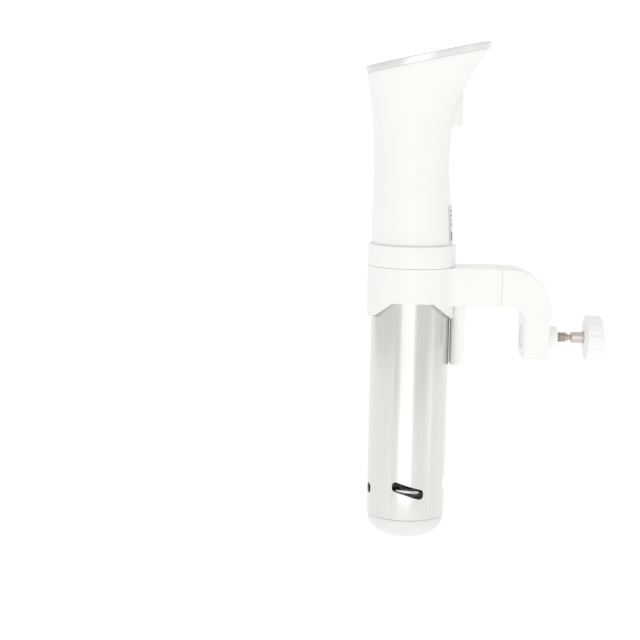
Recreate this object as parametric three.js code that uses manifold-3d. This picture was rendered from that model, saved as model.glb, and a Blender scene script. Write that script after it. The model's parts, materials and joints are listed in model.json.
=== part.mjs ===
// Immersion circulator with its pot clamp. Millimetres, +Z up along the skirt tube,
// +X from the tube towards the clamp. The pot's rim bears on the underside of the arm.
import * as THREE from 'three';
import { mergeVertices } from 'three/addons/utils/BufferGeometryUtils.js';
import { ConvexGeometry } from 'three/addons/geometries/ConvexGeometry.js';
import Module from 'manifold-3d';

const wasm = await Module();
wasm.setup();

// ---- driving dimensions ----
const gap = 0.3;
const rimSeatX = 53.5;

const tube = { radius: 29.7, wall: 1.0, top: 40, bottom: -161.2 };
const slot = { count: 4, length: 23.5, height: 7.8, corner: 2.8, z: -138.5, slope: -17 };
const cap = { radius: 29, wall: 2, band: 0.6, bottom: -179.5, fullness: 2.2, spigotTop: -152 };
const capGroove = { bottom: -157.6, top: -155.6, depth: 1.1 };
const intake = { count: 8, width: 3.6, inner: 6, outer: 17 };

const ring = { radius: 33, bore: 30.2, top: 28.4, bottom: -9.5 };
const relief = { halfTop: 15.2, top: 2.5, halfFoot: 31, foot: -9.6, chamfer: 3, flare: 12 };
const arm = { halfWidth: 19, top: 28.4, end: 66.4 };
const innerLeg = { face: 40.5, bottom: -45.4, halfWidth: 12, corner: 2.5 };
const jaw = {
  start: 66.8, face: 84, outer: 103.8, outerFoot: 102.2, bottom: -39, edge: 1.2, bend: 30, fillet: 10.5,
};
const jawBolt = { shank: 2, head: 4, tip: 80, head0: 37, head1: 41, spread: 11, z: 14 };
const screwZ = -24;
const boss = { radius: 8.1, end: 111 };
const screw = {
  radius: 4.1, start: 89.5, neck: 2.6, neckX: 120.4, shank: 4.25, end: 143, tip: 2.4, tipStart: 85.8,
};
const insert = { radius: 6.5, start: 88.5, end: 110.7 };
const knob = { hubStart: 131.2, start: 132.3, end: 147, radius: 17, taper: 0.7, hubRadius: 8 };
const grip = { count: 10, radius: 1.8, depth: 0.8, firstDegrees: 20.5 };
const pad = { radius: 8.5, front: 84.3, back: 87.1 };

const collar = { radius: 33, bottom: 29.2, top: 44.9, flange: 41, flangeBore: 24 };
const bulkhead = { radius: 28.3, bottom: 30, shoulder: 40.2, bossRadius: 23.6, top: 44.6 };
const base = { radius: 26, bottom: 45.2, top: 48.2 };
const motor = { radius: 15.5, wall: 1.3, bottom: 50.4, top: 88 };
const wetTop = 44.8;
const coil = { radius: 22, rod: 3.3, top: -40, bottom: -141, turns: 5, riser: 18, returnLeg: 9 };
const impeller = { radius: 20, hub: 6, top: -148, bottom: -157, blades: 6 };
const impellerNut = { radius: 4.8, bottom: -162.6, boreBottom: -160.9 };
const shaft = { radius: 2.5, bottom: -160.6, top: 97 };
const shaftBearing = { radius: 8, bottom: 38, top: 44 };
const shaftSeal = { radius: 6, bottom: 30.4, top: 36.8 };
const probe = { x: 0, y: -14, radius: 2.2, bottom: -112 };
const electrodes = { x: -15.5, y: 4, radius: 1.5, low: -96, high: -52 };
const label = { halfWidth: 13, bottom: 46.5, top: 74, back: 0.15, face: 0.45 };

const housingBottom = 45.2;
const housingWall = 2.4;
const bezelDepth = 5.4;
// height, left edge, right edge and half width of the housing's oval sections
const sections = [
  [44.9, -30.6, 30.0, 30.2],
  [75, -30.4, 28.4, 29.4],
  [105, -30.1, 26.1, 28.3],
  [130, -31.1, 27.4, 28.5],
  [150, -33.3, 32.0, 29.4],
  [165, -35.6, 38.2, 30.6],
  [180, -38.7, 46.9, 31.9],
  [190, -40.6, 53.5, 32.6],
  [206, -44.0, 56.5, 33.6],
];
const topTip = { x: 54.4, z: 195.5 };
const topSlope = 0.218;

// ---- materials ----
const paint = (color, roughness, metalness = 0) =>
  new THREE.MeshStandardMaterial({ color, roughness, metalness });
const whitePlastic = paint('#f1f1f0', 0.45);
const capPlastic = paint('#f4f4f2', 0.5);
const creamPlastic = paint('#f3f1e6', 0.5);
const blackPlastic = paint('#222326', 0.6);
const rubber = paint('#3a3b3d', 0.85);
const silver = paint('#c9cacc', 0.35, 0.9);
const stainless = paint('#cfcfcd', 0.3, 1);
const screwSteel = paint('#c6bcb5', 0.35, 1);
const brass = paint('#c9a44c', 0.35, 1);
const copper = paint('#b87345', 0.4, 1);
const darkGlass = paint('#0c0d10', 0.08);
const greenBoard = paint('#1f6a43', 0.6);
const labelGrey = paint('#b9babb', 0.55);
const aluminium = paint('#b4b7ba', 0.4, 1);
const motorSteel = paint('#8e9297', 0.4, 1);

// ---- solids ----
function solid(geometry) {
  const bare = geometry.index ? geometry.toNonIndexed() : geometry.clone();
  for (const name of Object.keys(bare.attributes)) {
    if (name !== 'position') bare.deleteAttribute(name);
  }
  const merged = mergeVertices(bare, 1e-4);
  const make = (triVerts) => new wasm.Manifold(new wasm.Mesh({
    numProp: 3,
    vertProperties: merged.attributes.position.array,
    triVerts,
  }));
  const triVerts = new Uint32Array(merged.index.array);
  const made = make(triVerts);
  if (made.volume() > 0) return made;
  return make(triVerts.map((value, i, all) => all[i - (i % 3) + 2 - (i % 3)]));
}

function geometryOf(manifold) {
  const mesh = manifold.getMesh();
  const geometry = new THREE.BufferGeometry();
  geometry.setAttribute('position', new THREE.BufferAttribute(new Float32Array(mesh.vertProperties), 3));
  geometry.setIndex(new THREE.BufferAttribute(new Uint32Array(mesh.triVerts), 1));
  return geometry;
}

const join = (...parts) => parts.reduce((sum, part) => sum.add(part));
const cut = (body, ...tools) => tools.reduce((rest, tool) => rest.subtract(tool), body);

function box(x0, x1, y0, y1, z0, z1) {
  const geometry = new THREE.BoxGeometry(x1 - x0, y1 - y0, z1 - z0);
  geometry.translate((x0 + x1) / 2, (y0 + y1) / 2, (z0 + z1) / 2);
  return solid(geometry);
}

// a profile of [radius, height] points turned about Z
function turned(points, segments = 36, closed = true) {
  const profile = points.map(([r, z]) => new THREE.Vector2(r, z));
  if (closed) profile.push(profile[0].clone());
  return solid(new THREE.LatheGeometry(profile, segments).rotateX(Math.PI / 2));
}

const disc = (radius, z0, z1, segments = 36) =>
  turned([[0, z0], [radius, z0], [radius, z1], [0, z1]], segments, false);
const hoop = (outer, inner, z0, z1, segments = 36) =>
  turned([[inner, z0], [outer, z0], [outer, z1], [inner, z1]], segments);
const rod = (x, y, radius, z0, z1, segments = 8) => disc(radius, z0, z1, segments).translate([x, y, 0]);
const barX = (y, z, radius, x0, x1, segments = 16) =>
  disc(radius, x0, x1, segments).rotate([0, 90, 0]).translate([0, y, z]);

// an outline of [x, z] points, or a Shape drawn in x and z, pushed along Y
function slabY(outline, halfWidth, edge = 0) {
  const shape = Array.isArray(outline)
    ? new THREE.Shape(outline.map(([x, z]) => new THREE.Vector2(x, z)))
    : outline;
  const geometry = new THREE.ExtrudeGeometry(shape, {
    depth: 2 * (halfWidth - edge),
    curveSegments: 10,
    bevelEnabled: edge > 0,
    bevelThickness: edge,
    bevelSize: edge,
    bevelOffset: -edge,
    bevelSegments: 2,
  });
  return solid(geometry.rotateX(Math.PI / 2).translate(0, halfWidth - edge, 0));
}

function oRing(radius, section, z) {
  const points = Array.from({ length: 4 }, (_, i) => {
    const turn = (i / 4) * 2 * Math.PI;
    return [radius + section * Math.cos(turn), z + section * Math.sin(turn)];
  });
  return turned(points);
}

// a screw standing on Z: its head spans head0 to head1, its shank goes down to tip
function screwSolid(x, y, shank, head, tip, head0, head1) {
  const profile = [[0, tip], [shank, tip], [shank, head0], [head, head0], [head, head1], [0, head1]];
  return turned(profile, 10, false).translate([x, y, 0]);
}

const spread = (count, radius, start = 0) => Array.from({ length: count }, (_, i) => {
  const turn = start + (i / count) * 2 * Math.PI;
  return [radius * Math.cos(turn), radius * Math.sin(turn)];
});

const stackScrews = spread(3, 19, Math.PI / 2);

// ---- head ----
const sectionAt = new THREE.CubicInterpolant(
  sections.map(([z]) => z),
  sections.flatMap(([, left, right, half]) => [left, right, half]),
  3,
);
const topZ = (x) => topTip.z + (x - topTip.x) * topSlope;

// the housing's outside, shrunk by inset, between two heights
function headSolid(inset, z0, z1, rows) {
  const geometry = new THREE.CylinderGeometry(1, 1, 1, 36, rows).rotateX(Math.PI / 2);
  const place = geometry.attributes.position;
  for (let i = 0; i < place.count; i += 1) {
    const z = z0 + (place.getZ(i) + 0.5) * (z1 - z0);
    const [left, right, half] = sectionAt.evaluate(z);
    const reach = (right - left) / 2 - inset;
    place.setXYZ(i, (left + right) / 2 + place.getX(i) * reach, place.getY(i) * (half - inset), z);
  }
  return solid(geometry);
}

// the layer between two depths under the slanted top
function topLayer(depth0, depth1, x0 = -80, x1 = 90, halfWidth = 60) {
  return slabY([
    [x0, topZ(x0) - depth1],
    [x1, topZ(x1) - depth1],
    [x1, topZ(x1) - depth0],
    [x0, topZ(x0) - depth0],
  ], halfWidth);
}

const topDisc = (inset, depth0, depth1) =>
  headSolid(inset, 162, 206, 4).intersect(topLayer(depth0, depth1));

const inlet = { outer: 34.4, bottom: 132.3, top: 157, halfWidth: 10 };

function makeHousing() {
  const outside = headSolid(0, housingBottom, 206, 12);
  const inside = headSolid(housingWall, housingBottom - 1, 206, 9);
  const window = box(22, 40, -5, 5, 138, 150);
  return cut(outside, inside, topLayer(-40, bezelDepth + gap), window);
}

function makeBezel() {
  const glassOpening = topDisc(3.4, -1, 3.4);
  const ledgeOpening = topDisc(6, 3, bezelDepth + 1);
  return cut(topDisc(0, 0, bezelDepth), glassOpening, ledgeOpening);
}

function makeInletShroud() {
  const outline = [
    [24, inlet.bottom],
    [inlet.outer - 0.6, inlet.bottom],
    [inlet.outer, inlet.top - 8],
    [inlet.outer + 0.6, inlet.top],
    [24, inlet.top],
  ];
  const bore = box(29, 33.4, -4.5, 4.5, inlet.bottom - 1, 144);
  const passage = box(20, 33.4, -4, 4, 139, 144);
  const seat = headSolid(-gap, 120, 170, 6);
  return cut(slabY(outline, inlet.halfWidth, 0.8), bore, passage, seat);
}

function makeLabel() {
  const { halfWidth, bottom, top, back, face } = label;
  const window = box(10, 40, -halfWidth, halfWidth, bottom, top);
  return cut(headSolid(-face, collar.top, 80, 4).intersect(window), headSolid(-back, collar.top, 80, 4));
}

function makeCollar() {
  const { radius, bottom, top, flange, flangeBore } = collar;
  return turned([
    [radius, bottom],
    [radius, top - 0.8],
    [radius - 0.8, top],
    [flangeBore, top],
    [flangeBore, flange],
    [tube.radius + 0.4, flange],
    [tube.radius + 0.4, bottom],
  ]);
}

function makeBulkhead() {
  const { radius, bottom, shoulder, bossRadius, top } = bulkhead;
  const body = turned([
    [0, bottom],
    [radius, bottom],
    [radius, 33.6],
    [radius - 1.5, 33.6],
    [radius - 1.5, 36],
    [radius, 36],
    [radius, shoulder],
    [bossRadius, shoulder],
    [bossRadius, top],
    [0, top],
  ], 36, false);
  const holes = [
    rod(0, 0, shaftBearing.radius + gap, shaftBearing.bottom - 0.6, top + 1, 16),
    rod(0, 0, shaftSeal.radius + gap, bottom - 1, shaftBearing.bottom, 16),
    rod(coil.riser, 0, coil.rod + gap, bottom - 1, top + 1),
    rod(coil.returnLeg, coil.returnLeg, coil.rod + gap, bottom - 1, top + 1),
    rod(probe.x, probe.y, probe.radius + gap, bottom - 1, top + 1),
    rod(electrodes.x, electrodes.y, electrodes.radius + gap, bottom - 1, top + 1),
    rod(electrodes.x, -electrodes.y, electrodes.radius + gap, bottom - 1, top + 1),
  ];
  const tapped = stackScrews.map(([x, y]) => rod(x, y, 1.8, 34, top + 1));
  return cut(body, ...holes, ...tapped);
}

function makeChassis() {
  const plate = disc(base.radius, base.bottom, base.top);
  const upright = box(-21, -18.5, -5, 5, base.bottom + 1, 164);
  const wings = box(-21, -18.5, -16, 16, 98, 164);
  const shaftHole = rod(0, 0, 6, 40, 60, 24);
  const screwHoles = stackScrews.map(([x, y]) => rod(x, y, 1.8, 40, 60));
  const boardHoles = boardCorners.map(([y, z]) => barX(y, z, 1.5, -22, -18, 10));
  return cut(join(plate, upright, wings), shaftHole, ...screwHoles, ...boardHoles);
}

const boardCorners = [[-13, 102], [13, 102], [-13, 159], [13, 159]];
const board = { back: -18.2, front: -16.6, halfWidth: 15.5, bottom: 99, top: 162 };
// x, y and z spans of what stands on the power board
const onBoard = {
  transformer: [-16.3, 0, -14, 0, 106, 124],
  heaterRelay: [-16.3, -2, -14, 1, 143, 156],
  terminalBlock: [-16.3, -7, 4, 15, 138, 154],
};

function makePowerBoard() {
  const holes = boardCorners.map(([y, z]) => barX(y, z, 1.5, -22, -10, 10));
  const { back, front, halfWidth, bottom, top } = board;
  return cut(box(back, front, -halfWidth, halfWidth, bottom, top), ...holes);
}

function makeHeatSink() {
  const plate = box(-16.3, -13.8, 3, 15, 106, 134);
  const fins = [3, 6.5, 10, 13.5].map((y) => box(-14, -5, y, y + 1.5, 106, 134));
  return join(plate, ...fins);
}

function makeMotorCan() {
  const { radius, wall, bottom, top } = motor;
  return turned([
    [4.5, bottom],
    [radius, bottom],
    [radius, top],
    [radius - wall, top],
    [radius - wall, bottom + wall],
    [4.5, bottom + wall],
  ], 20);
}

function makeEndBell() {
  return turned([
    [shaft.radius + gap, 88.3],
    [motor.radius, 88.3],
    [motor.radius, 91],
    [9, 93.6],
    [5.3, 93.6],
    [5.3, 89.6],
    [shaft.radius + gap, 89.6],
  ], 20);
}

function makeRotor() {
  const core = hoop(12.3, shaft.radius + gap, 56, 82, 20);
  const slots = spread(8, 12.3).map(([x, y], i) => box(9.5, 14, -0.9, 0.9, 50, 90)
    .rotate([0, 0, (i / 8) * 360]));
  return cut(core, ...slots);
}

// the heater rod: down, round in a coil, and back up inside it
function makeHeaterCoil() {
  const { radius, top, bottom, turns, riser, returnLeg } = coil;
  const points = [
    [riser, 0, wetTop],
    [riser, 0, 5],
    [riser + 0.5, 0, -18],
    [radius - 1, -1.5, top + 8],
  ];
  const steps = turns * 8;
  for (let i = 1; i < steps; i += 1) {
    const turn = (i / 8) * 2 * Math.PI;
    const drop = Math.min(1, i / (steps - 6));
    points.push([radius * Math.cos(turn), radius * Math.sin(turn), top + (bottom - top) * drop]);
  }
  points.push([17, -2, bottom + 1], [11.5, 6, bottom + 6]);
  for (const z of [bottom + 16, -80, -20, wetTop]) points.push([returnLeg, returnLeg, z]);
  const path = new THREE.CatmullRomCurve3(points.map((p) => new THREE.Vector3(...p)), false, 'centripetal');
  const section = new THREE.Shape().absarc(0, 0, coil.rod, 0, 2 * Math.PI, false);
  return solid(new THREE.ExtrudeGeometry(section, {
    steps: 100,
    curveSegments: 3,
    bevelEnabled: false,
    extrudePath: path,
  }));
}

function makeImpeller() {
  const { radius, hub, top, bottom, blades } = impeller;
  const body = join(disc(hub, bottom, top, 24), disc(radius, top - 1.6, top, 36));
  const vanes = Array.from({ length: blades }, (_, i) => box(3, radius - 0.5, -0.8, 0.8, bottom + 0.5, top)
    .rotate([0, 0, 18]).translate([0, 2, 0]).rotate([0, 0, (i / blades) * 360]));
  return cut(join(body, ...vanes), rod(0, 0, shaft.radius + gap, bottom - 1, top + 1, 16));
}

function makeImpellerNut() {
  const { radius, bottom, boreBottom } = impellerNut;
  const blank = turned([
    [0, bottom],
    [radius - 1.8, bottom],
    [radius, bottom + 1.6],
    [radius, impeller.bottom - gap],
    [0, impeller.bottom - gap],
  ], 6, false);
  return cut(blank, rod(0, 0, shaft.radius + gap, boreBottom, impeller.bottom, 16));
}

// ---- skirt ----
function slotCutter() {
  const { length, height, corner, slope } = slot;
  const drop = Math.tan(THREE.MathUtils.degToRad(slope)) * length / 2;
  const corners = [
    [-length / 2, -height / 2 - drop],
    [length / 2, -height / 2 + drop],
    [length / 2, height / 2 + drop],
    [-length / 2, height / 2 - drop],
  ].map(([x, z]) => new THREE.Vector2(x, z + slot.z));
  const shape = new THREE.Shape();
  corners.forEach((point, i) => {
    const before = corners[(i + 3) % 4].clone().sub(point).setLength(corner).add(point);
    const after = corners[(i + 1) % 4].clone().sub(point).setLength(corner).add(point);
    if (i === 0) shape.moveTo(before.x, before.y);
    else shape.lineTo(before.x, before.y);
    shape.quadraticCurveTo(point.x, point.y, after.x, after.y);
  });
  const geometry = new THREE.ExtrudeGeometry(shape, { depth: 20, curveSegments: 3, bevelEnabled: false });
  return solid(geometry.rotateX(Math.PI / 2).translate(0, -18, 0));
}

function makeSkirtTube() {
  const { radius, wall, top, bottom } = tube;
  const cutter = slotCutter();
  const cutters = Array.from({ length: slot.count }, (_, i) => cutter.rotate([0, 0, (i / slot.count) * 360]));
  return cut(hoop(radius, radius - wall, bottom, top), ...cutters);
}

// a quarter of a superellipse, from below the rim to the pole on the axis
function domeArc(radius, height, rim, steps = 7) {
  const power = 2 / cap.fullness;
  return Array.from({ length: steps }, (_, i) => {
    const turn = ((i + 1) / steps) * (Math.PI / 2);
    const r = i + 1 === steps ? 0 : radius * Math.cos(turn) ** power;
    return [r, rim - height * Math.sin(turn) ** power];
  });
}

function makeEndCap() {
  const { radius, wall, band, bottom, spigotTop } = cap;
  const rim = tube.bottom - gap;
  const edge = rim - band;
  const outside = domeArc(radius, edge - bottom, edge).reverse();
  const bowl = radius - wall - 1;
  const inside = domeArc(bowl, edge - bottom - wall, edge);
  const spigot = tube.radius - tube.wall - 0.35;
  const groove = spigot - capGroove.depth;
  const body = turned([
    ...outside,
    [radius, edge],
    [radius, rim],
    [spigot, rim],
    [spigot, capGroove.bottom],
    [groove, capGroove.bottom],
    [groove, capGroove.top],
    [spigot, capGroove.top],
    [spigot, spigotTop],
    [bowl, spigotTop],
    [bowl, edge],
    ...inside,
  ], 36, false);
  const { count, width, inner, outer } = intake;
  const gate = box(inner, outer, -width / 2, width / 2, bottom - 5, edge - 1);
  return cut(body, ...Array.from({ length: count }, (_, i) => gate.rotate([0, 0, (i / count) * 360])));
}

// ---- clamp ----
function reliefCutter(side) {
  const { halfTop, top, halfFoot, foot, chamfer, flare } = relief;
  const start = ring.radius - chamfer;
  const ringFace = (grow, y) => [
    [-halfFoot - grow, foot - 1],
    [halfFoot + grow, foot - 1],
    [halfTop + grow / 2, top + grow],
    [-halfTop - grow / 2, top + grow],
  ].map(([x, z]) => new THREE.Vector3(x, side * y, z));
  const straight = new ConvexGeometry([...ringFace(0, 5), ...ringFace(0, start + flare)]);
  const flared = new ConvexGeometry([...ringFace(0, start), ...ringFace(flare, start + flare)]);
  return solid(straight).add(solid(flared));
}

const boltPlaces = [[-jawBolt.spread, jawBolt.z], [jawBolt.spread, jawBolt.z]];

function makeClampArm() {
  const { radius, bore, top, bottom } = ring;
  const reliefs = [reliefCutter(-1), reliefCutter(1)];
  const ringBody = cut(disc(radius, bottom, top), ...reliefs);
  const armBody = slabY([[0, 0], [arm.end, 0], [arm.end, arm.top], [0, arm.top]], arm.halfWidth, 1);
  const { face, bottom: foot, corner } = innerLeg;
  const leg = slabY([
    [bore + gap, foot],
    [face - corner, foot],
    [face, foot + corner],
    [face, 2],
    [bore + gap, 2],
  ], innerLeg.halfWidth, 1.2);
  const bolts = boltPlaces.flatMap(([y, z]) => [
    barX(y, z, jawBolt.shank + gap, 30, jawBolt.tip),
    barX(y, z, jawBolt.head + gap, 24, jawBolt.head1 + gap),
  ]);
  return cut(join(ringBody, armBody, leg), disc(bore, bottom - 5, top + 5), ...bolts);
}

function makeJaw() {
  const { start, face, outer, outerFoot, bottom, edge, bend, fillet } = jaw;
  const shape = new THREE.Shape();
  shape.moveTo(start, 0);
  shape.lineTo(start, arm.top);
  shape.lineTo(outer - bend, arm.top);
  shape.absarc(outer - bend, arm.top - bend, bend, Math.PI / 2, 0, true);
  shape.lineTo(outerFoot, bottom);
  shape.lineTo(face, bottom);
  shape.lineTo(face, -fillet);
  shape.absarc(face - fillet, -fillet, fillet, 0, Math.PI / 2, false);
  const body = slabY(shape, arm.halfWidth, edge).add(barX(0, screwZ, boss.radius, 95, boss.end, 32));
  const bolts = boltPlaces.map(([y, z]) => barX(y, z, jawBolt.shank + gap, 60, jawBolt.tip + 2, 12));
  const pocket = barX(0, screwZ, pad.radius + gap, 80, pad.back + gap, 24);
  return cut(body, pocket, barX(0, screwZ, insert.radius + gap, 80, 120), ...bolts);
}

// profiles along X, turned about the screw's axis
const alongX = (manifold) => manifold.rotate([0, 90, 0]);

function makeScrew() {
  const { radius, neck, neckX, shank, end, tip, tipStart, start } = screw;
  return alongX(turned([
    [0, tipStart],
    [tip, tipStart],
    [tip, pad.back + 1],
    [radius, start],
    [radius, neckX - 1.8],
    [neck, neckX - 0.8],
    [neck, neckX + 0.8],
    [shank, neckX + 1.8],
    [shank, end],
    [0, end],
  ], 16, false));
}

function makeKnob() {
  const { hubStart, start, end, radius, taper, hubRadius } = knob;
  const blank = turned([
    [0, hubStart],
    [hubRadius - 0.5, hubStart],
    [hubRadius, hubStart + 0.5],
    [hubRadius, start],
    [radius - 0.8, start],
    [radius, start + 0.8],
    [radius - taper, end - 3.8],
    [radius - taper - 1.6, end - 2.7],
    [radius / 2, end - 0.9],
    [radius / 4, end - 0.1],
    [0, end],
  ], 36, false);
  const firstTurn = THREE.MathUtils.degToRad(-90 - grip.firstDegrees);
  const grooves = spread(grip.count, radius - grip.depth + grip.radius, firstTurn)
    .map(([x, y]) => rod(x, y, grip.radius, start - 0.1, end + 2, 10));
  const shankHole = rod(0, 0, screw.shank + gap, hubStart - 1, screw.end + gap, 24);
  return alongX(cut(blank, ...grooves, shankHole));
}

// ---- assembly ----
const part = new THREE.Group();
const circulator = new THREE.Group();
const clamp = new THREE.Group();
const clampScrew = new THREE.Group();
clampScrew.position.z = screwZ;
clamp.add(clampScrew);
part.add(circulator, clamp);
part.position.x = -rimSeatX;

function add(group, name, manifold, material) {
  const mesh = new THREE.Mesh(geometryOf(manifold), material);
  mesh.name = name;
  group.add(mesh);
}

add(circulator, 'upper_housing', makeHousing(), whitePlastic);
add(circulator, 'top_bezel', makeBezel(), silver);
add(circulator, 'touch_glass', topDisc(3.8, 0.5, 2.3), darkGlass);
add(circulator, 'panel_gasket', cut(topDisc(3.8, 2.6, 3.1), topDisc(6.4, 2, 4)), rubber);
add(circulator, 'display_board', topDisc(7.5, 8.2, 9.8), greenBoard);
add(circulator, 'digit_module', topLayer(2.8, 7.9, -13, 17, 9), blackPlastic);
add(circulator, 'buzzer', topLayer(3.6, 7.9, 23, 32, 4.5), blackPlastic);
add(circulator, 'inlet_shroud', makeInletShroud(), creamPlastic);
add(circulator, 'rating_label', makeLabel(), labelGrey);
add(circulator, 'collar', makeCollar(), whitePlastic);

add(circulator, 'bulkhead', makeBulkhead(), blackPlastic);
add(circulator, 'bulkhead_seal', oRing(bulkhead.radius - 0.55, 0.65, 34.8), rubber);
add(circulator, 'inner_chassis', makeChassis(), blackPlastic);
add(circulator, 'power_board', makePowerBoard(), greenBoard);
add(circulator, 'transformer', box(...onBoard.transformer), copper);
add(circulator, 'filter_capacitor', barX(-7, 133, 6, -16.3, 6, 16), blackPlastic);
add(circulator, 'heat_sink', makeHeatSink(), aluminium);
add(circulator, 'heater_relay', box(...onBoard.heaterRelay), blackPlastic);
add(circulator, 'terminal_block', box(...onBoard.terminalBlock), creamPlastic);
boardCorners.forEach(([y, z], i) => {
  const body = screwSolid(0, 0, 1.2, 2.3, -23, -16.3, -14.9);
  add(circulator, `board_screw_${i + 1}`, alongX(body).translate([0, y, z]), stainless);
});
stackScrews.forEach(([x, y], i) => {
  add(circulator, `stack_screw_${i + 1}`, screwSolid(x, y, 1.5, 2.7, 35, base.top + gap, 50.6), stainless);
});

add(circulator, 'motor_can', makeMotorCan(), motorSteel);
add(circulator, 'motor_magnets', hoop(13.7, 12.7, 55, 83, 20), blackPlastic);
add(circulator, 'motor_end_bell', makeEndBell(), aluminium);
add(circulator, 'motor_bearing', hoop(4.9, shaft.radius + gap, 89.9, 93, 16), brass);
const aroundShaft = ({ radius, bottom, top }) => hoop(radius, shaft.radius + gap, bottom, top, 16);
add(circulator, 'shaft_bearing', aroundShaft(shaftBearing), stainless);
add(circulator, 'shaft_seal', aroundShaft(shaftSeal), rubber);
add(circulator, 'heater_coil', makeHeaterCoil(), stainless);
const probeBody = rod(probe.x, probe.y, probe.radius, probe.bottom, wetTop);
add(circulator, 'temperature_probe', probeBody, stainless);
const electrode = (y, bottom) => rod(electrodes.x, y, electrodes.radius, bottom, wetTop, 10);
add(circulator, 'level_electrode_low', electrode(electrodes.y, electrodes.low), stainless);
add(circulator, 'level_electrode_high', electrode(-electrodes.y, electrodes.high), stainless);

add(circulator, 'drive_shaft', rod(0, 0, shaft.radius, shaft.bottom, shaft.top, 14), stainless);
add(circulator, 'motor_rotor', makeRotor(), copper);
add(circulator, 'impeller', makeImpeller(), capPlastic);
add(circulator, 'impeller_nut', makeImpellerNut(), stainless);

add(circulator, 'skirt_tube', makeSkirtTube(), stainless);
add(circulator, 'end_cap', makeEndCap(), capPlastic);
const capSealZ = (capGroove.bottom + capGroove.top) / 2;
add(circulator, 'cap_seal', oRing(tube.radius - tube.wall - 0.8, 0.6, capSealZ), rubber);

add(clamp, 'seat_washer', hoop(ring.radius - 0.5, ring.bore, ring.top + 0.15, collar.bottom - 0.15), rubber);
add(clamp, 'clamp_arm', makeClampArm(), whitePlastic);
add(clamp, 'clamp_jaw', makeJaw(), whitePlastic);
boltPlaces.forEach(([y, z], i) => {
  const { shank, head, tip, head0, head1 } = jawBolt;
  const body = screwSolid(0, 0, shank, head, -tip, -head1, -head0);
  add(clamp, `jaw_bolt_${i + 1}`, body.rotate([0, -90, 0]).translate([0, y, z]), stainless);
});
const insertBody = hoop(insert.radius, screw.radius + gap, insert.start, insert.end, 16);
add(clampScrew, 'threaded_insert', alongX(insertBody), brass);
add(clampScrew, 'clamp_screw', makeScrew(), screwSteel);
add(clampScrew, 'knob', makeKnob(), whitePlastic);
const tipHole = rod(0, 0, screw.tip + gap, screw.tipStart - gap, pad.back + 1);
const padBody = disc(pad.radius, pad.front, pad.back, 20).subtract(tipHole);
add(clampScrew, 'pressure_pad', alongX(padBody), capPlastic);

export default part;
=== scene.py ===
import json
import math
import bmesh
import bpy
from mathutils import Matrix, Vector


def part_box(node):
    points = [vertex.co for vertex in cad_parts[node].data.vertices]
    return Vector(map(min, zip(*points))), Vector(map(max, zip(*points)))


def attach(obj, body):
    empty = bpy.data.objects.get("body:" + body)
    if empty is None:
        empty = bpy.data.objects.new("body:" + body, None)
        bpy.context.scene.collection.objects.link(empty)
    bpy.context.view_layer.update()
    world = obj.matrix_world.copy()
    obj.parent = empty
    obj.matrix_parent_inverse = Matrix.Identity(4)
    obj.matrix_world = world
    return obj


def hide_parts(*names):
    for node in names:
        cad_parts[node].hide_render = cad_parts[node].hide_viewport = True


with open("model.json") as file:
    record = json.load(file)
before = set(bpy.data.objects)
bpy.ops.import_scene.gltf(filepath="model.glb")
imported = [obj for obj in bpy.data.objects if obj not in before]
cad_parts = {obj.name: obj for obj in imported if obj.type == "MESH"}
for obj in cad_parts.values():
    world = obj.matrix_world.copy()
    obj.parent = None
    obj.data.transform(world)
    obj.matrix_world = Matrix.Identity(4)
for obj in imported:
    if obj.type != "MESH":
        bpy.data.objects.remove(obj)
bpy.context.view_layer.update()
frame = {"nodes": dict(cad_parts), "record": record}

mm = 0.001
fullTurn = 2 * math.pi
tubeLow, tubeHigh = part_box("skirt_tube")
axisX = (tubeLow.x + tubeHigh.x) / 2
tubeRadius = (tubeHigh.x - tubeLow.x) / 2
screwLow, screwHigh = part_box("clamp_screw")
screwZ = (screwLow.z + screwHigh.z) / 2
nodes = frame["nodes"]


def at(x, y, z):  # millimetres from the tube's axis, heights from the rim seat
    return Vector((axisX + x * mm, y * mm, z * mm))


def roundCorners(points, steps=5):  # closed outline of (x, y, corner radius)
    outline = []
    for i, (x, y, radius) in enumerate(points):
        here = Vector((x, y))
        if radius <= 0:
            outline.append((x, y))
            continue
        before = (Vector(points[i - 1][:2]) - here).normalized()
        after = (Vector(points[(i + 1) % len(points)][:2]) - here).normalized()
        half = before.angle(after) / 2
        centre = here + (before + after).normalized() * (radius / math.sin(half))
        start = here + before * (radius / math.tan(half)) - centre
        end = here + after * (radius / math.tan(half)) - centre
        first = math.atan2(start.y, start.x)
        sweep = (math.atan2(end.y, end.x) - first + math.pi) % fullTurn - math.pi
        for k in range(steps + 1):
            turn = first + sweep * k / steps
            outline.append((centre.x + radius * math.cos(turn), centre.y + radius * math.sin(turn)))
    return outline


def cleanUp(bm):
    bmesh.ops.remove_doubles(bm, verts=bm.verts, dist=1e-6)
    bmesh.ops.dissolve_degenerate(bm, edges=bm.edges, dist=1e-7)
    bmesh.ops.recalc_face_normals(bm, faces=bm.faces)
    return bm


def lathe(profile, along="Z", steps=128, closed=True, centre=(0, 0, 0)):  # profile of (radius, height) in mm
    bm = bmesh.new()
    x, y, z = centre
    if along == "Z":
        verts = [bm.verts.new(at(x + r, y, z + h)) for r, h in profile]
    else:
        verts = [bm.verts.new(at(h, y - r, z)) for r, h in profile]
    pairs = list(zip(verts, verts[1:]))
    if closed:
        pairs.append((verts[-1], verts[0]))
    edges = [bm.edges.new(pair) for pair in pairs]
    spinAxis = (0, 0, 1) if along == "Z" else (1, 0, 0)
    bmesh.ops.spin(bm, geom=verts + edges, cent=at(x, y, z), axis=spinAxis, angle=fullTurn,
                   steps=steps, use_merge=True)
    return cleanUp(bm)


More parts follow.
